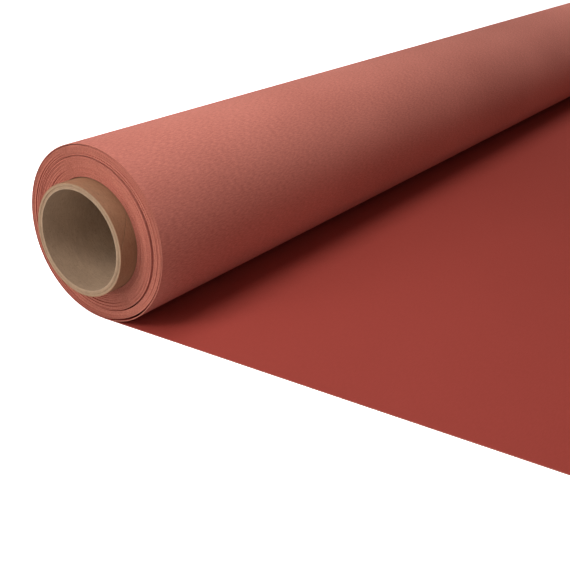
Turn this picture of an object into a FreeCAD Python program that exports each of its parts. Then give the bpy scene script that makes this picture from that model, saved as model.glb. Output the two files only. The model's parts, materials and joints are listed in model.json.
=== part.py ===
"""A wide roll of coated cloth on a spiral-wound paperboard core, with its free end run out on the floor.

Frame: millimetres. The origin is on the core's axis at mid-width, +Y runs along the axis,
+X points to the web's free end, and +Z is up. The floor is one roll radius below the origin.

The web is one length of cloth. Here it is four pieces: the flat run on the floor, the loose last turn,
the slack outer turns and the tight inner turns. It comes along the floor from +X, goes up the -X side
of the roll, over the top, down the +X side and back under, and so inwards turn by turn.
"""
import FreeCAD, Part
import os
from math import cos, pi, radians, sin

import Sketcher

DIMENSIONS = {
    "roll_radius": 67.4,  # outside of the loose last turn
    "cloth": 0.7,  # thickness of the web
    "web_width": 1500.0,
    "free_length": 600.0,  # flat run, from the line where it meets the roll to its cut end
    "wound_radius": 66.2,  # outside of the slack outer turns
    "slack_bore": 58.3,  # inside of the slack outer turns
    "slack_shift": 0.9,  # the slack turns' bore lies this far towards +X
    "tight_radius": 57.3,  # outside of the tight inner turns
    "core_length": 1530.0,
    "core_radius": 42.7,
    "wrap_inside": 42.2,  # inside of the core's outermost ply
    "liner_outside": 38.7,  # outside of the core's innermost ply
    "bore_radius": 38.1,  # 3 inch core
    "tape_thickness": 0.5,
    "tape_start": 236.0,  # degrees from +X towards +Z
    "tape_end": 270.0,
    "tape_length": 1460.0,  # it stops short of the web's cut edges
    "leave_angle": 40.0,  # degrees below +X, where the loose turn leaves its circle
    "slack_radius": 57.3,  # bend of the loose turn on its way down to the floor
    "tail_x": 10.8,  # where the loose turn slips under the wound turns
}


def fill_sheet(doc):
    """The driving dimensions as a spreadsheet with one alias to each."""
    sheet = doc.addObject("Spreadsheet::Sheet", "Dims")
    for row, (alias, value) in enumerate(DIMENSIONS.items(), start=1):
        sheet.set(f"A{row}", alias)
        sheet.set(f"B{row}", str(value))
        sheet.setAlias(f"B{row}", alias)
    doc.recompute()
    return sheet


def new_body(doc, label):
    body = doc.addObject("PartDesign::Body", label)
    body.Label = label
    return body


def end_sketch(body, name):
    """A sketch across the roll: its own x is +X and its own y is +Z."""
    sketch = body.newObject("Sketcher::SketchObject", name)
    plane = next(o for o in body.Origin.OriginFeatures if o.Role == "XZ_Plane")
    sketch.AttachmentSupport = [(plane, "")]
    sketch.MapMode = "FlatFace"
    return sketch


def bind(sketch, constraint, name, formula):
    """Add a constraint and drive it by a formula of the sheet's cells."""
    index = sketch.addConstraint(constraint)
    sketch.renameConstraint(index, name)
    sketch.setExpression(f"Constraints.{name}", formula)


def through_width(body, sketch, name, length, kind="Pad"):
    """Pad or pocket a sketch by a length that is centred on mid-width."""
    feature = body.newObject(f"PartDesign::{kind}", name)
    feature.Profile = sketch
    feature.SideType = "Symmetric"
    feature.setExpression("Length", f"Dims.{length}")
    sketch.Visibility = False
    return feature


def add_circle(sketch, name, radius, shift=None):
    """A circle about the roll's axis, or about a point shifted towards +X."""
    centre = DIMENSIONS[shift] if shift else 0.0
    circle = Part.Circle(FreeCAD.Vector(centre, 0, 0), FreeCAD.Vector(0, 0, 1), DIMENSIONS[radius])
    index = sketch.addGeometry(circle)
    bind(sketch, Sketcher.Constraint("Radius", index, DIMENSIONS[radius]), name, f"Dims.{radius}")
    if shift:
        sketch.addConstraint(Sketcher.Constraint("PointOnObject", index, 3, -1))
        offset = Sketcher.Constraint("DistanceX", -1, 1, index, 3, centre)
        bind(sketch, offset, f"{name}_shift", f"Dims.{shift}")
    else:
        sketch.addConstraint(Sketcher.Constraint("Coincident", index, 3, -1, 1))


def ring(doc, label, outside, inside, length, shift=None):
    """A tube about the roll's axis. Its bore may be shifted towards +X."""
    body = new_body(doc, label)
    sketch = end_sketch(body, f"{label}_end")
    add_circle(sketch, "outside", outside)
    add_circle(sketch, "inside", inside, shift)
    through_width(body, sketch, f"{label}_pad", length)
    return body


def arc(centre, radius, start, end):
    """An arc from start to end, in degrees from +X towards +Z."""
    circle = Part.Circle(FreeCAD.Vector(*centre, 0), FreeCAD.Vector(0, 0, 1), radius)
    return Part.ArcOfCircle(circle, radians(start), radians(end))


def line(start, end):
    return Part.LineSegment(FreeCAD.Vector(*start, 0), FreeCAD.Vector(*end, 0))


def polar(radius, angle):
    return (radius * cos(radians(angle)), radius * sin(radians(angle)))


def tape_sketch(body, name):
    """The band under the web's inner end: from the core's face outwards by the tape's thickness."""
    sketch = end_sketch(body, name)
    start, end = DIMENSIONS["tape_start"], DIMENSIONS["tape_end"]
    inner = DIMENSIONS["core_radius"]
    outer = inner + DIMENSIONS["tape_thickness"]
    sketch.addGeometry(arc((0, 0), inner, start, end))
    sketch.addGeometry(arc((0, 0), outer, start, end))
    sketch.addGeometry(line(polar(inner, start), polar(outer, start)))
    sketch.addGeometry(line(polar(inner, end), polar(outer, end)))
    for band in (0, 1):
        sketch.addConstraint(Sketcher.Constraint("Coincident", band, 3, -1, 1))
        sketch.addConstraint(Sketcher.Constraint("Coincident", 2, band + 1, band, 1))
        sketch.addConstraint(Sketcher.Constraint("Coincident", 3, band + 1, band, 2))
    for edge in (2, 3):
        sketch.addConstraint(Sketcher.Constraint("PointOnObject", -1, 1, edge))
    bind(sketch, Sketcher.Constraint("Radius", 0, inner), "inner", "Dims.core_radius")
    bind(sketch, Sketcher.Constraint("Radius", 1, outer), "outer", "Dims.core_radius + Dims.tape_thickness")
    bind(sketch, Sketcher.Constraint("Angle", 2, radians(start)), "start", "Dims.tape_start * 1 deg")
    bind(sketch, Sketcher.Constraint("Angle", 3, radians(end)), "end", "Dims.tape_end * 1 deg")
    return sketch


def starter_tape(doc):
    body = new_body(doc, "starter_tape")
    through_width(body, tape_sketch(body, "tape_end_view"), "tape_pad", "tape_length")
    return body


def inner_turns(doc):
    """The tight turns, bored to the core and relieved for the tape."""
    body = ring(doc, "inner_turns", "tight_radius", "core_radius", "web_width")
    doc.recompute()
    before = body.Shape.Volume
    through_width(body, tape_sketch(body, "tape_relief"), "tape_pocket", "tape_length", kind="Pocket")
    doc.recompute()
    if not body.Shape.Volume < before:
        raise RuntimeError("the relief for the tape cut nothing")
    return body


def free_sheet(doc):
    body = new_body(doc, "free_sheet")
    sketch = end_sketch(body, "free_sheet_edge")
    floor = -DIMENSIONS["roll_radius"]
    top = floor + DIMENSIONS["cloth"]
    length = DIMENSIONS["free_length"]
    corners = [(0, floor), (length, floor), (length, top), (0, top)]
    for index in range(4):
        sketch.addGeometry(line(corners[index], corners[(index + 1) % 4]))
    for index, way in enumerate(("Horizontal", "Vertical", "Horizontal", "Vertical")):
        sketch.addConstraint(Sketcher.Constraint("Coincident", index, 2, (index + 1) % 4, 1))
        sketch.addConstraint(Sketcher.Constraint(way, index))
    sketch.addConstraint(Sketcher.Constraint("PointOnObject", 0, 1, -2))
    bind(sketch, Sketcher.Constraint("DistanceY", 0, 1, -1, 1, -floor), "floor", "Dims.roll_radius")
    bind(sketch, Sketcher.Constraint("DistanceX", 0, 1, 0, 2, length), "run", "Dims.free_length")
    bind(sketch, Sketcher.Constraint("DistanceY", 1, 1, 1, 2, top - floor), "cloth", "Dims.cloth")
    through_width(body, sketch, "free_sheet_pad", "web_width")
    return body


def outer_turn(doc):
    """The loose last turn: a circle that leaves the roll low on the +X side, runs straight for a moment,
    then bends down onto the flat run and ends where it would slip under the wound turns."""
    cloth, radius, bend = DIMENSIONS["cloth"], DIMENSIONS["roll_radius"], DIMENSIONS["slack_radius"]
    leave = DIMENSIONS["leave_angle"]
    bend_z = bend - (radius - cloth)  # the bend's lowest point rests on the flat run
    away = polar(1.0, -leave)
    drop = (radius * away[1] - (bend_z + bend * away[1])) / cos(radians(leave))
    bend_x = (radius - bend) * away[0] - drop * sin(radians(leave))
    tail = 270.0 + 180 / pi * (DIMENSIONS["tail_x"] - bend_x) / bend
    body = new_body(doc, "outer_turn")
    sketch = end_sketch(body, "outer_turn_edge")
    faces = ((radius, bend), (radius - cloth, bend - cloth))  # outside of the strip, then its inside
    for circle, curl in faces:
        left_at = polar(circle, -leave)
        bends_at = (bend_x + curl * away[0], bend_z + curl * away[1])
        sketch.addGeometry(arc((0, 0), circle, -leave, 270))
        sketch.addGeometry(line(left_at, bends_at))
        sketch.addGeometry(arc((bend_x, bend_z), curl, tail, 360 - leave))
    start_line = sketch.addGeometry(line((0, -radius), (0, cloth - radius)))
    tail_line = sketch.addGeometry(line(*[tuple(sketch.Geometry[face].StartPoint)[:2] for face in (2, 5)]))
    for number, face in enumerate((0, 3)):
        circle, straight, curl = face, face + 1, face + 2
        sketch.addConstraint(Sketcher.Constraint("Coincident", circle, 3, -1, 1))
        sketch.addConstraint(Sketcher.Constraint("Tangent", circle, 1, straight, 1))
        sketch.addConstraint(Sketcher.Constraint("Tangent", straight, 2, curl, 2))
        sketch.addConstraint(Sketcher.Constraint("Coincident", start_line, number + 1, circle, 2))
        sketch.addConstraint(Sketcher.Constraint("Coincident", tail_line, number + 1, curl, 1))
    sketch.addConstraint(Sketcher.Constraint("Coincident", 5, 3, 2, 3))
    sketch.addConstraint(Sketcher.Constraint("PointOnObject", start_line, 1, -2))
    sketch.addConstraint(Sketcher.Constraint("PointOnObject", start_line, 2, -2))
    sketch.addConstraint(Sketcher.Constraint("PointOnObject", 2, 3, tail_line))
    bind(sketch, Sketcher.Constraint("Radius", 0, radius), "outside", "Dims.roll_radius")
    inside = radius - cloth
    bind(sketch, Sketcher.Constraint("Radius", 3, inside), "inside", "Dims.roll_radius - Dims.cloth")
    bind(sketch, Sketcher.Constraint("Radius", 2, bend), "bend", "Dims.slack_radius")
    bend_rise = "Dims.roll_radius - Dims.cloth - Dims.slack_radius"
    bind(sketch, Sketcher.Constraint("DistanceY", 2, 3, -1, 1, -bend_z), "bend_rise", bend_rise)
    bind(sketch, Sketcher.Constraint("DistanceX", -1, 1, 2, 1, DIMENSIONS["tail_x"]), "tail", "Dims.tail_x")
    heading = radians(270 - leave)
    bind(sketch, Sketcher.Constraint("Angle", 1, heading), "heading", "(270 - Dims.leave_angle) * 1 deg")
    through_width(body, sketch, "outer_turn_pad", "web_width")
    return body


def check(doc, nodes):
    """Stop on any failed object, open sketch or bad solid."""
    for item in doc.Objects:
        if "Invalid" in item.State or "Error" in item.State:
            raise RuntimeError(f"{item.Name} failed: {item.State}")
    for node in nodes:
        shape = node.Shape
        if shape.isNull() or not shape.isValid() or len(shape.Solids) != 1:
            raise RuntimeError(f"{node.Label} is not one valid solid")
        print(f"{node.Label}: {shape.Volume / 1000:.1f} cm3, {shape.BoundBox}")


def main():
    doc = FreeCAD.newDocument("cloth_roll")
    fill_sheet(doc)
    nodes = [
        free_sheet(doc),
        outer_turn(doc),
        ring(doc, "outer_turns", "wound_radius", "slack_bore", "web_width", shift="slack_shift"),
        inner_turns(doc),
        starter_tape(doc),
        ring(doc, "core_wrap_ply", "core_radius", "wrap_inside", "core_length"),
        ring(doc, "core_body_plies", "wrap_inside", "liner_outside", "core_length"),
        ring(doc, "core_liner_ply", "liner_outside", "bore_radius", "core_length"),
    ]
    doc.recompute()
    check(doc, nodes)
    os.makedirs("parts", exist_ok=True)
    for node in nodes:
        node.Shape.exportStep(f"parts/{node.Label}.step")


main()
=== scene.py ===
"""Looks for a wide roll of copper-red coated cloth on a paperboard core, with its free end run out flat.

The CAD frame gives the places and the main sizes. This script adds the cloth as one web in three pieces
(flat run, loose last turn, and the wound turns as a true spiral), the core as glued plies, their materials,
a white stage, the lights and the camera. Lengths are metres. +Y is the roll's axis, +X the free end, +Z up.
"""

import json
import random
from math import cos, hypot, pi, radians, sin

import bmesh
import bpy
from mathutils import Matrix, Vector


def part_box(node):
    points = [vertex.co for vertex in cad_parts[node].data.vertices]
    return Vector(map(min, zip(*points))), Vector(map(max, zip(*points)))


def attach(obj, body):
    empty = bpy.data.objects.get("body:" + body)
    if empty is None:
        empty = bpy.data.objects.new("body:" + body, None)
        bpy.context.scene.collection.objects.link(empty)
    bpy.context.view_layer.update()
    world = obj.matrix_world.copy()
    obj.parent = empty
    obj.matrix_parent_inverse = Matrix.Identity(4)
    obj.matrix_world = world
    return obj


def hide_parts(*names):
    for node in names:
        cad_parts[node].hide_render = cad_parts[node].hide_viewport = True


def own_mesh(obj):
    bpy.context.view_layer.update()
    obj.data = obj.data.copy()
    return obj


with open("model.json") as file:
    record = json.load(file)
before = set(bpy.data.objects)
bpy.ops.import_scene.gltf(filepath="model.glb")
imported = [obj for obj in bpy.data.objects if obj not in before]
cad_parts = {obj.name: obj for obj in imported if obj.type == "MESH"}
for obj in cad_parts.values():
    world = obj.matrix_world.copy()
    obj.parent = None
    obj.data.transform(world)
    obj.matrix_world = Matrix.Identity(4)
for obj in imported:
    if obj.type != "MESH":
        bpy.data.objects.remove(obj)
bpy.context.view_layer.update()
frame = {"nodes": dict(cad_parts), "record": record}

MM = 0.001
TURN = 2 * pi

# Sizes from the frame
FLOOR_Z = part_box("free_sheet")[0].z
ROLL = -FLOOR_Z
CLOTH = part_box("free_sheet")[1].z - FLOOR_Z
HALF_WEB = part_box("free_sheet")[1].y
FREE_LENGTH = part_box("free_sheet")[1].x
HALF_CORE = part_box("core_wrap_ply")[1].y
BORE = frame["record"]["mounts"][0]["dims"]["r_mm"] * MM

# The core's plies: their radii, as the CAD has them, then the lead and the open seam of each wound strip
CORE = 42.7 * MM
WRAP_INSIDE = 42.2 * MM
LINER_OUTSIDE = 38.7 * MM
BODY_PLIES = 6
WRAP_LEAD, WRAP_SEAM = 160 * MM, 0.6 * MM
LINER_LEAD, LINER_SEAM = 140 * MM, 0.7 * MM

# The free end: how its last stretch curls up
CURL_LENGTH = 70 * MM
CURL_RISE = 4 * MM
STILL_SHARE = 0.35  # of the free length, from the roll, that has no waves

# The loose last turn, as the CAD has it
LEAVE = radians(40)  # below +X, where it leaves its circle
BEND = 57.3 * MM  # radius of its way down to the floor
TAIL_X = 10.8 * MM  # where it slips under the wound turns

# The wound turns
SLACK_TURNS = 10
TIGHT_TURNS = 20
WOUND_CLOTH = 0.66 * MM  # a little thinner than the web, so that turns show apart
SLACK_INSIDE = 59.0 * MM  # mean radius of the slack group's inner face
WOUND = ROLL - CLOTH - 0.2 * MM  # their outside, which turns inside the loose turn
WOUND_START = radians(-81)  # where the loose turn hands over to them
SLACK_END = radians(190)  # direction in which the slack group gives over to the tight one
GAP = 2.1 * MM  # the dark gap between the two groups, at its widest
GAP_AT = radians(10)
DENT = 0.2 * MM  # how far the outermost turns are pressed in, beside the loose turn
DENT_AT = radians(-75)
UNEVEN = 0.5 * MM  # how far the turns' edges wander
PROUD = 0.35 * MM  # how far the outermost turns stand out past the rest
PROUD_TURNS = 4.5

ROUNDING = 0.12 * MM  # on the cloth's cut edges
CLEAR = 0.05 * MM  # between pieces of the web that move apart


# ---------------------------------------------------------------- meshes

def new_piece(name, points, faces, body, replaced, materials, face_materials=None, uvs=None):
    """A mesh piece that rides on a body, stands for CAD nodes and takes the materials it is given."""
    mesh = bpy.data.meshes.new(name)
    mesh.from_pydata(points, [], faces)
    for material in materials:
        mesh.materials.append(material)
    if face_materials:
        mesh.polygons.foreach_set("material_index", face_materials)
    if uvs:
        layer = mesh.uv_layers.new(name="UVMap")
        for loop in mesh.loops:
            layer.data[loop.index].uv = uvs[loop.vertex_index]
    clean_normals(mesh)
    piece = bpy.data.objects.new(name, mesh)
    bpy.context.scene.collection.objects.link(piece)
    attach(piece, body)
    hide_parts(*replaced)
    return piece


def clean_normals(mesh, sharp_degrees=40):
    """Point every face outwards, and shade smooth up to an angle."""
    work = bmesh.new()
    work.from_mesh(mesh)
    bmesh.ops.recalc_face_normals(work, faces=work.faces)
    work.to_mesh(mesh)
    work.free()
    mesh.shade_smooth()
    mesh.set_sharp_from_angle(angle=radians(sharp_degrees))


class Wander:
    """A smooth seeded wandering value along a length: a few sines with random phases."""

    def __init__(self, seed, reach, wavelengths):
        draw = random.Random(seed)
        self.waves = [(reach / len(wavelengths), TURN / w, draw.uniform(0, TURN)) for w in wavelengths]

    def at(self, along):
        return sum(size * sin(rate * along + phase) for size, rate, phase in self.waves)


BACK, CUT_EDGE, FACE = 0, 1, 2  # places in a band's list of materials


def band(name, line, thickness, columns, edges, body, replaced, lift=None):
    """A closed band of cloth. line is the course of its outside: (x, z, outward x, outward z, length so far).
    edges gives the y of the near and the far edge at a length. lift(x, y) raises a flat run."""
    points, uvs, faces, kinds = [], [], [], []
    top, bottom = ROUNDING, thickness - ROUNDING  # depths between which a cut edge is upright
    for x, z, out_x, out_z, along in line:
        near, far = edges(along)
        step = (far - near - 2 * ROUNDING) / columns
        outside = [(near + ROUNDING + step * i, 0.0) for i in range(columns + 1)]
        inside = [(y, thickness) for y, _ in reversed(outside)]
        section = outside + [(far, top), (far, bottom)] + inside + [(near, bottom), (near, top)]
        for y, deep in section:
            raised = lift(x, y) if lift else 0.0
            points.append((x - out_x * deep, y, z - out_z * deep + raised))
            uvs.append((along, y + deep))
    count = 2 * (columns + 1) + 4
    for row in range(len(line) - 1):
        for i in range(count):
            here, ahead = row * count + i, row * count + (i + 1) % count
            faces.append((here, ahead, ahead + count, here + count))
            kinds.append(face_kind(i, columns))
    for base in (0, (len(line) - 1) * count):
        for i in range(columns):
            twin = base + 2 * columns + 3 - i
            faces.append((base + i, base + i + 1, twin - 1, twin))
        faces.append(tuple(base + columns + i for i in range(4)))
        faces.append((base, base + count - 1, base + count - 2, base + count - 3))
        kinds += [CUT_EDGE] * (columns + 2)
    cloth = [material_named("cloth_back"), material_named("cloth_edge"), material_named("cloth_face")]
    return new_piece(name, points, faces, body, replaced, cloth, kinds, uvs)


def face_kind(i, columns):
    """Which material a face of a band's section has, counted from the near edge of its outside."""
    if i < columns:
        return BACK
    if columns + 3 <= i < 2 * columns + 3:
        return FACE
    return CUT_EDGE


def with_lengths(points):
    """Add the length so far to a list of (x, z, outward x, outward z)."""
    line, along = [], 0.0
    for i, (x, z, out_x, out_z) in enumerate(points):
        if i:
            along += hypot(x - points[i - 1][0], z - points[i - 1][1])
        line.append((x, z, out_x, out_z, along))
    return line


def around(centre, radius, start, end, steps):
    """Points of an arc, with outward normals, from start to end in radians from +X towards +Z."""
    angles = [start + (end - start) * i / steps for i in range(steps + 1)]
    return [(centre[0] + radius * cos(a), centre[1] + radius * sin(a), cos(a), sin(a)) for a in angles]


# ---------------------------------------------------------------- cloth

def edge_pair(seed, reach, wavelengths):
    """The near and the far edge of the web, each wandering a little."""
    near, far = Wander(seed, reach, wavelengths), Wander(seed + 1, reach, wavelengths)
    return lambda along: (-HALF_WEB + near.at(along), HALF_WEB + far.at(along))


def free_sheet():
    """The flat run: still near the roll, with long low waves and a little curl left at its free end."""
    steps = 150
    course = [(CLEAR + (FREE_LENGTH - CLEAR) * i / steps, FLOOR_Z, 0.0, -1.0) for i in range(steps + 1)]
    waves = [Wander(21, 0.5 * MM, (0.41, 0.23)), Wander(23, 0.5 * MM, (0.9, 0.37))]

    def lift(x, y):
        loose = max(x / FREE_LENGTH - STILL_SHARE, 0.0)
        ripple = max(waves[0].at(x + 0.3 * y) + waves[1].at(y - 0.4 * x), 0.0)
        curl = max(x - (FREE_LENGTH - CURL_LENGTH), 0.0) / CURL_LENGTH
        return loose * ripple + CURL_RISE * curl * curl

    edges = edge_pair(31, 0.15 * MM, (0.7, 0.31))
    line = with_lengths(course)
    piece = band("free_sheet_cloth", line, CLOTH, 120, edges, "floor_sheet", ["free_sheet"], lift)
    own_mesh(piece)


def loose_turn_course():
    """From the floor up the -X side, over the top, then off the roll and down onto the flat run."""
    bend_z = BEND - (ROLL - CLOTH) + CLEAR
    drop = ((BEND - ROLL) * sin(LEAVE) - bend_z) / cos(LEAVE)
    bend_x = (ROLL - BEND) * cos(LEAVE) - drop * sin(LEAVE)
    tail = -pi / 2 + (TAIL_X - bend_x) / BEND
    circle = around((0, 0), ROLL, 1.5 * pi, -LEAVE, 220)
    bend = around((bend_x, bend_z), BEND, -LEAVE, tail, 60)
    return with_lengths(circle + bend)


def loose_turn():
    """The last turn, which comes up off the floor, goes round the roll and slips back under it."""
    course = loose_turn_course()
    edges = edge_pair(41, 0.3 * MM, (0.31, 0.12))
    piece = band("loose_turn_cloth", course, CLOTH, 60, edges, "loose_turn", ["outer_turn"])


def ripple_at(angle):
    """How far the turns beside the dark gap stand off a true circle."""
    shifted = 0.7 * MM * cos(angle + radians(75))
    squeezed = 0.5 * MM * cos(2 * (angle - radians(25)))
    return shifted - squeezed


def gap_at(angle):
    """Width of the dark gap between the slack and the tight turns: widest at +X, shut at -X."""
    open_share = 0.5 + 0.5 * cos(angle - GAP_AT)
    return GAP * open_share ** 2.2


def dent_at(angle):
    """How far the outermost turns are pressed in, beside the place where the loose turn leaves them."""
    away = (angle - DENT_AT + pi) % TURN - pi
    return DENT * cos(1.6 * away) ** 2 if 1.6 * abs(away) < pi / 2 else 0.0


def slack_radius(angle, share):
    """Radius in the slack group, share of the way in: dented at its outside, rippled at its inside."""
    plain = WOUND - (WOUND - SLACK_INSIDE) * share
    return plain + ripple_at(angle) * share - dent_at(angle) * (1 - share)


def tight_radius(angle, share):
    """Radius in the tight group, share of the way in: from the gap, where it ripples, to the core."""
    inner = CORE + WOUND_CLOTH
    outer = SLACK_INSIDE - gap_at(angle) + ripple_at(angle)
    return inner + (outer - inner) * (1 - share)


def wound_course():
    """The spiral, from its outside at the bottom inwards: slack turns, the gap, then tight turns."""
    steps = 120
    slack = SLACK_TURNS * TURN + (WOUND_START - (SLACK_END - TURN))
    tight = TIGHT_TURNS * TURN
    points = []
    for i in range(int((slack + tight) / TURN * steps) + 1):
        wound = TURN * i / steps
        angle = WOUND_START - wound
        if wound < slack:
            radius = slack_radius(angle, wound / slack)
        else:
            radius = tight_radius(angle, (wound - slack) / tight)
        points.append((radius * cos(angle), radius * sin(angle), cos(angle), sin(angle)))
    return with_lengths(points)


def wound_turns():
    """The wound turns, each with its own slightly uneven edge. The outermost few stand a little proud."""
    course = wound_course()
    near = Wander(51, UNEVEN, (0.97, 0.53, 0.27))
    far = Wander(52, UNEVEN, (0.91, 0.57, 0.29))
    proud_length = PROUD_TURNS * TURN * WOUND

    def edges(along):
        reach = HALF_WEB - UNEVEN + (PROUD if along < proud_length else 0.0)
        return (-reach + near.at(along), reach + far.at(along))

    piece = band("wound_cloth", course, WOUND_CLOTH, 1, edges, "roll", ["outer_turns", "inner_turns"])


# ---------------------------------------------------------------- core

def lathe(name, profile, replaced, steps=160):
    """A closed ring turned about the roll's axis from a closed profile of (radius, y)."""
    count = len(profile)
    points, faces = [], []
    for i in range(steps):
        angle = TURN * i / steps
        points += [(radius * cos(angle), y, radius * sin(angle)) for radius, y in profile]
    for i in range(steps):
        here, ahead = i * count, (i + 1) % steps * count
        for j in range(count):
            after = (j + 1) % count
            faces.append((here + j, here + after, ahead + after, ahead + j))
    new_piece(name, points, faces, "roll", replaced, [material_named("core_plies")])


def body_plies():
    """The body's plies: a groove in the end face at each glue line, and a wider one at mid-wall."""
    step = (WRAP_INSIDE - LINER_OUTSIDE) / BODY_PLIES
    fine, wide = 0.07 * MM, 0.24 * MM  # half widths of the grooves, which are as deep as they are wide
    widths = [wide if i == BODY_PLIES // 2 else fine for i in range(BODY_PLIES + 1)]
    end = []
    for i in range(BODY_PLIES):
        low, high = LINER_OUTSIDE + step * i, LINER_OUTSIDE + step * (i + 1)
        end += [(low, HALF_CORE - 2 * widths[i]), (low + widths[i], HALF_CORE)]
        end.append((high - widths[i + 1], HALF_CORE))
    end.append((WRAP_INSIDE, HALF_CORE - 2 * fine))
    profile = end + [(radius, -y) for radius, y in reversed(end)]
    lathe("core_body", profile, ["core_body_plies"])


def wound_ply(name, inside, outside, lead, seam, replaced, material):
    """One ply as a strip of board: wound in a helix with a narrow open seam, and cut flush at the ends."""
    steps, columns = 96, 6
    width = lead - seam
    section = [(width * i / columns, inside) for i in range(columns + 1)]
    section += [(y, outside) for y, _ in reversed(section)]
    count = len(section)
    start = -HALF_CORE - lead
    total = int((2 * HALF_CORE + 2 * lead) / lead * steps)
    points, faces = [], []
    for i in range(total + 1):
        angle = TURN * i / steps
        along = start + lead * i / steps
        points += [(radius * cos(angle), along + y, radius * sin(angle)) for y, radius in section]
    for i in range(total):
        for j in range(count):
            after = (j + 1) % count
            faces.append((i * count + j, i * count + after, (i + 1) * count + after, (i + 1) * count + j))
    faces.append(tuple(range(count)))
    faces.append(tuple(total * count + j for j in range(count)))
    cut_flush(new_piece(name, points, faces, "roll", replaced, [material]))


def cut_flush(piece):
    """Cut a ply at both ends of the core, and close the cuts."""
    work = bmesh.new()
    work.from_mesh(piece.data)
    for way in (-1, 1):
        cut = bmesh.ops.bisect_plane(
            work, geom=work.verts[:] + work.edges[:] + work.faces[:],
            plane_co=(0, way * HALF_CORE, 0), plane_no=(0, way, 0), clear_outer=True)
        edges = [e for e in cut["geom_cut"] if isinstance(e, bmesh.types.BMEdge)]
        bmesh.ops.edgeloop_fill(work, edges=edges)
    bmesh.ops.recalc_face_normals(work, faces=work.faces)
    work.to_mesh(piece.data)
    work.free()
    piece.data.set_sharp_from_angle(angle=radians(40))


def core():
    body_plies()
    wound_ply("core_liner", BORE, LINER_OUTSIDE, LINER_LEAD, LINER_SEAM, ["core_liner_ply"],
              material_named("core_inside"))
    wound_ply("core_wrap", WRAP_INSIDE, CORE, WRAP_LEAD, WRAP_SEAM, ["core_wrap_ply"],
              material_named("core_outside"))


# ---------------------------------------------------------------- materials

class Nodes:
    """A short way to write a material's nodes."""

    def __init__(self, name):
        self.material = bpy.data.materials.new(name)
        self.material.use_nodes = True
        self.tree = self.material.node_tree
        self.shader = self.tree.nodes["Principled BSDF"]

    def add(self, kind, inputs=None, **settings):
        node = self.tree.nodes.new(kind)
        for key, value in settings.items():
            setattr(node, key, value)
        for key, value in (inputs or {}).items():
            if isinstance(value, bpy.types.NodeSocket):
                self.tree.links.new(value, node.inputs[key])
            else:
                node.inputs[key].default_value = value
        return node

    def math(self, operation, *values):
        return self.add("ShaderNodeMath", dict(enumerate(values)), operation=operation).outputs[0]

    def noise(self, place, sizes, detail=2.0, roughness=0.5):
        """Noise at a place in metres, with blotches of about the given sizes."""
        scale = tuple(1 / size for size in sizes)
        scaled = self.add("ShaderNodeMapping", {"Vector": place, "Scale": scale}).outputs[0]
        inputs = {"Vector": scaled, "Scale": 1.0, "Detail": detail, "Roughness": roughness}
        return self.add("ShaderNodeTexNoise", inputs).outputs["Fac"]

    def ramp(self, value, low, high, to_low=0.0, to_high=1.0):
        inputs = {"Value": value, "From Min": low, "From Max": high, "To Min": to_low, "To Max": to_high}
        return self.add("ShaderNodeMapRange", inputs).outputs[0]

    def mix(self, share, first, second):
        node = self.add("ShaderNodeMix", {0: share}, data_type="RGBA")
        for index, value in ((6, first), (7, second)):
            if isinstance(value, bpy.types.NodeSocket):
                self.tree.links.new(value, node.inputs[index])
            else:
                node.inputs[index].default_value = (*value, 1.0)
        return node.outputs[2]

    def bump(self, height, distance):
        node = self.add("ShaderNodeBump", {"Height": height, "Distance": distance, "Strength": 1.0})
        self.tree.links.new(node.outputs[0], self.shader.inputs["Normal"])

    def set(self, **values):
        for key, value in values.items():
            socket = self.shader.inputs[key.replace("_", " ")]
            if isinstance(value, bpy.types.NodeSocket):
                self.tree.links.new(value, socket)
            else:
                socket.default_value = value


def material_named(name):
    return bpy.data.materials[name]


def web_vector(nodes):
    """Metres along the web and across it, which stay the same however the web is wound."""
    return nodes.add("ShaderNodeUVMap", uv_map="UVMap").outputs[0]


def weave_height(nodes, web, pitch):
    """Plain weave: warp and weft ridges at a pitch."""
    parts = nodes.add("ShaderNodeSeparateXYZ", {0: web})
    rate = TURN / pitch
    ridges = [nodes.math("SINE", nodes.math("MULTIPLY", parts.outputs[axis], rate)) for axis in (0, 1)]
    return nodes.math("MULTIPLY", ridges[0], ridges[1])


def cloth_material(name, light, dark, dashes, sheen, roughness, bump):
    """Coated cloth: short dashes along the weft, soft clouds of tone and a fine weave."""
    nodes = Nodes(name)
    web = web_vector(nodes)
    dash = nodes.noise(web, (1.0 * MM, 4.6 * MM, 1.0), detail=3.0, roughness=0.6)
    grain = nodes.noise(web, (0.5 * MM, 0.6 * MM, 1.0), detail=1.0)
    cloud = nodes.noise(web, (90 * MM, 160 * MM, 1.0))
    weft = nodes.math("MULTIPLY", dash, dashes)
    flecks = nodes.math("MULTIPLY", grain, dashes * 0.5)
    speckle = nodes.math("ADD", weft, flecks)
    cloud_tone = nodes.ramp(cloud, 0.3, 0.7, 0.0, 0.3)
    speckle_tone = nodes.ramp(speckle, 0.55 * dashes, 0.95 * dashes, 0.0, 0.7)
    tone = nodes.math("ADD", cloud_tone, speckle_tone)
    nodes.set(Base_Color=nodes.mix(tone, dark, light), Roughness=roughness, Sheen_Weight=sheen,
              Sheen_Roughness=0.4, Sheen_Tint=(1.0, 0.66, 0.58, 1.0), Specular_IOR_Level=0.25)
    height = nodes.math("ADD", nodes.math("MULTIPLY", weave_height(nodes, web, 0.55 * MM), 0.3), speckle)
    nodes.bump(height, bump)


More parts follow.
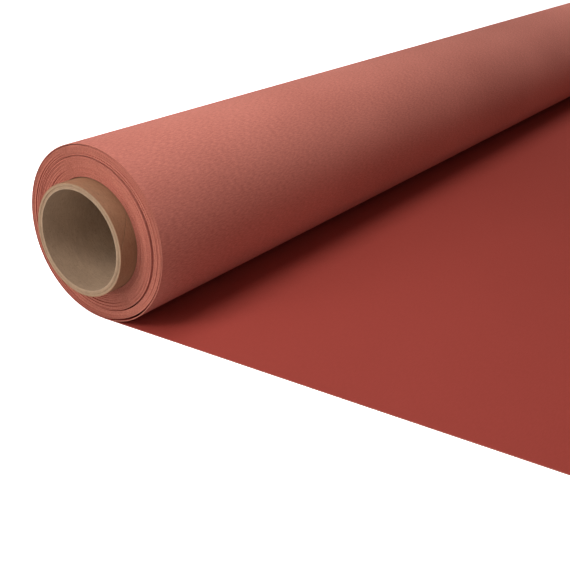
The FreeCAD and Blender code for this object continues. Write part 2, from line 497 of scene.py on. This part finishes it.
def edge_material():
    """The cut edge: the cloth's colour all through, a little paler where threads end."""
    nodes = Nodes("cloth_edge")
    threads = nodes.noise(web_vector(nodes), (0.6 * MM, 1.5 * MM, 1.0))
    tone = nodes.ramp(threads, 0.3, 0.7)
    nodes.set(Base_Color=nodes.mix(tone, (0.37, 0.108, 0.072), (0.55, 0.200, 0.143)),
              Roughness=0.9, Specular_IOR_Level=0.15)
    nodes.bump(threads, 0.05 * MM)


def board_material(name, light, dark, roughness):
    """Kraft board: long faint fibres round the core, and specks."""
    nodes = Nodes(name)
    place = nodes.add("ShaderNodeTexCoord").outputs["Object"]
    fibres = nodes.noise(place, (4 * MM, 1.2 * MM, 4 * MM), detail=4.0, roughness=0.65)
    clouds = nodes.noise(place, (25 * MM, 18 * MM, 25 * MM))
    specks = nodes.noise(place, (0.9 * MM,) * 3, detail=1.0)
    fibre_tone = nodes.ramp(fibres, 0.25, 0.75, 0.0, 0.6)
    cloud_tone = nodes.ramp(clouds, 0.3, 0.7, 0.0, 0.4)
    tone = nodes.math("ADD", fibre_tone, cloud_tone)
    speck_share = nodes.ramp(specks, 0.60, 0.75, 0.0, 0.4)
    flecked = nodes.mix(speck_share, nodes.mix(tone, dark, light), (0.10, 0.06, 0.035))
    nodes.set(Base_Color=flecked, Roughness=roughness, Specular_IOR_Level=0.3)
    nodes.bump(fibres, 0.08 * MM)


def tape_material():
    """Off-white cloth tape."""
    nodes = Nodes("tape")
    place = nodes.add("ShaderNodeTexCoord").outputs["Object"]
    threads = nodes.noise(place, (0.5 * MM,) * 3)
    nodes.set(Base_Color=nodes.mix(threads, (0.62, 0.58, 0.50), (0.78, 0.74, 0.66)), Roughness=0.7)
    nodes.bump(threads, 0.03 * MM)


def make_materials():
    """The cloth's two sides and cut edge, the core's three kinds of board, and the tape."""
    cloth_material("cloth_back", light=(0.755, 0.270, 0.207), dark=(0.495, 0.144, 0.106),
                   dashes=1.0, sheen=0.12, roughness=0.75, bump=0.14 * MM)
    cloth_material("cloth_face", light=(0.37, 0.055, 0.040), dark=(0.33, 0.047, 0.033),
                   dashes=0.5, sheen=0.0, roughness=0.7, bump=0.04 * MM)
    edge_material()
    board_material("core_plies", light=(0.46, 0.31, 0.195), dark=(0.31, 0.205, 0.13), roughness=0.85)
    board_material("core_inside", light=(0.50, 0.35, 0.23), dark=(0.32, 0.22, 0.145), roughness=0.8)
    board_material("core_outside", light=(0.40, 0.21, 0.115), dark=(0.25, 0.122, 0.064), roughness=0.6)
    tape_material()


# ---------------------------------------------------------------- stage

def pale_stage():
    """A white floor under a white dome. They give no light to the roll: the lamps do that."""
    nodes = Nodes("stage_paint")
    nodes.set(Base_Color=(0.85, 0.85, 0.85, 1.0), Roughness=0.9, Specular_IOR_Level=0.1,
              Emission_Color=(1.0, 1.0, 1.0, 1.0), Emission_Strength=1.0)
    reach, ground_z = 12.0, FLOOR_Z - 0.05 * MM
    corners = [(x * reach, y * reach, ground_z) for x, y in ((-1, -1), (1, -1), (1, 1), (-1, 1))]
    ground = bpy.data.meshes.new("floor")
    ground.from_pydata(corners, [], [(0, 1, 2, 3)])
    work = bmesh.new()
    bmesh.ops.create_icosphere(work, subdivisions=4, radius=0.9 * reach)
    dome = bpy.data.meshes.new("backdrop")
    work.to_mesh(dome)
    work.free()
    for mesh in (ground, dome):
        mesh.materials.append(nodes.material)
        scenery = bpy.data.objects.new(mesh.name, mesh)
        bpy.context.scene.collection.objects.link(scenery)
        scenery.visible_diffuse = False
        scenery.visible_glossy = False
        scenery.visible_shadow = False


def area_light(name, place, target, size, power, spread=180):
    """A rectangular panel at a place, facing a target. Its spread is in degrees."""
    light = bpy.data.lights.new(name, "AREA")
    light.spread = radians(spread)
    light.shape = "RECTANGLE"
    light.size, light.size_y = size
    light.energy = power
    lamp = bpy.data.objects.new(name, light)
    lamp.location = place
    aim = Vector(target) - Vector(place)
    lamp.rotation_euler = aim.to_track_quat("-Z", "Y").to_euler()
    bpy.context.scene.collection.objects.link(lamp)
    return lamp


def lights():
    """Panels over and before the near end, a high one for the whole roll, one over the far end, light that
    comes up off the floor beyond both ends, and a little warm light all round."""
    world = bpy.data.worlds.new("studio")
    world.use_nodes = True
    world.node_tree.nodes["Background"].inputs["Color"].default_value = (1.0, 0.78, 0.72, 1.0)
    world.node_tree.nodes["Background"].inputs["Strength"].default_value = 0.16
    bpy.context.scene.world = world
    near = Vector((0.0, -HALF_WEB, 0.0))
    inward = near + Vector((0.0, 0.3, 0.0))
    area_light("high", inward + Vector((0.0, 0.0, 2.6)), inward, (1.5, 1.5), 18.5)
    area_light("over_front", near + Vector((0.0, -0.9, 1.2)), near, (0.8, 0.8), 6.0)
    area_light("over_end", near + Vector((0.0, -0.6, 0.7)), near, (0.5, 0.5), 1.4)
    edge = near + Vector((0.05, 0.1, 0.0))
    area_light("strip", edge + Vector((0.0, 0.0, 0.45)), edge, (0.15, 0.6), 0.5)
    area_light("front_left", near + Vector((-0.55, -1.3, 0.9)), near, (0.6, 0.6), 5.0)
    area_light("front_low", near + Vector((-0.5, -1.4, 0.15)), near, (0.5, 0.3), 6.5)
    area_light("front_right", near + Vector((0.85, -1.0, 0.4)), near, (0.6, 0.6), 2.3)
    far = Vector((0.1, HALF_WEB, 0.0))
    area_light("over_far", far + Vector((0.0, 0.0, 1.0)), far, (0.8, 0.8), 1.8, 80)
    width, length = 1.2, 1.0
    for end in (-1, 1):
        foot = Vector((-0.1, end * (HALF_WEB + length / 2 + 10 * MM), FLOOR_Z + 2 * MM))
        above = foot + Vector((0.0, 0.0, 1.0))
        bounce = area_light(f"floor_bounce_{end}", foot, above, (width, length), 1.8)
        bounce.visible_camera = False


def camera():
    """Low, off the near end's right, looking along the roll. Its place is in roll radii."""
    lens = bpy.data.cameras.new("camera")
    lens.sensor_width = 36.0
    lens.lens = 55.6
    eye = bpy.data.objects.new("camera", lens)
    yaw, pitch, tilt = 0.6316, 0.4084, -0.0230
    aim = Matrix.Rotation(yaw, 4, "Z") @ Matrix.Rotation(pi / 2 - pitch, 4, "X")
    turn = aim @ Matrix.Rotation(tilt, 4, "Z")
    near_foot = Vector((0, -HALF_WEB, FLOOR_Z))
    place = near_foot + ROLL * Vector((6.9485, -6.0209, 4.2359))
    eye.matrix_world = Matrix.Translation(place) @ turn
    bpy.context.scene.collection.objects.link(eye)
    bpy.context.scene.camera = eye


def main():
    """Everything in order."""
    make_materials()
    camera()
    pale_stage()
    free_sheet()
    wound_turns()
    loose_turn()
    core()
    tape = frame["nodes"]["starter_tape"]
    tape.data.materials.clear()
    tape.data.materials.append(material_named("tape"))
    lights()
    bpy.context.scene.view_settings.view_transform = "Standard"


main()
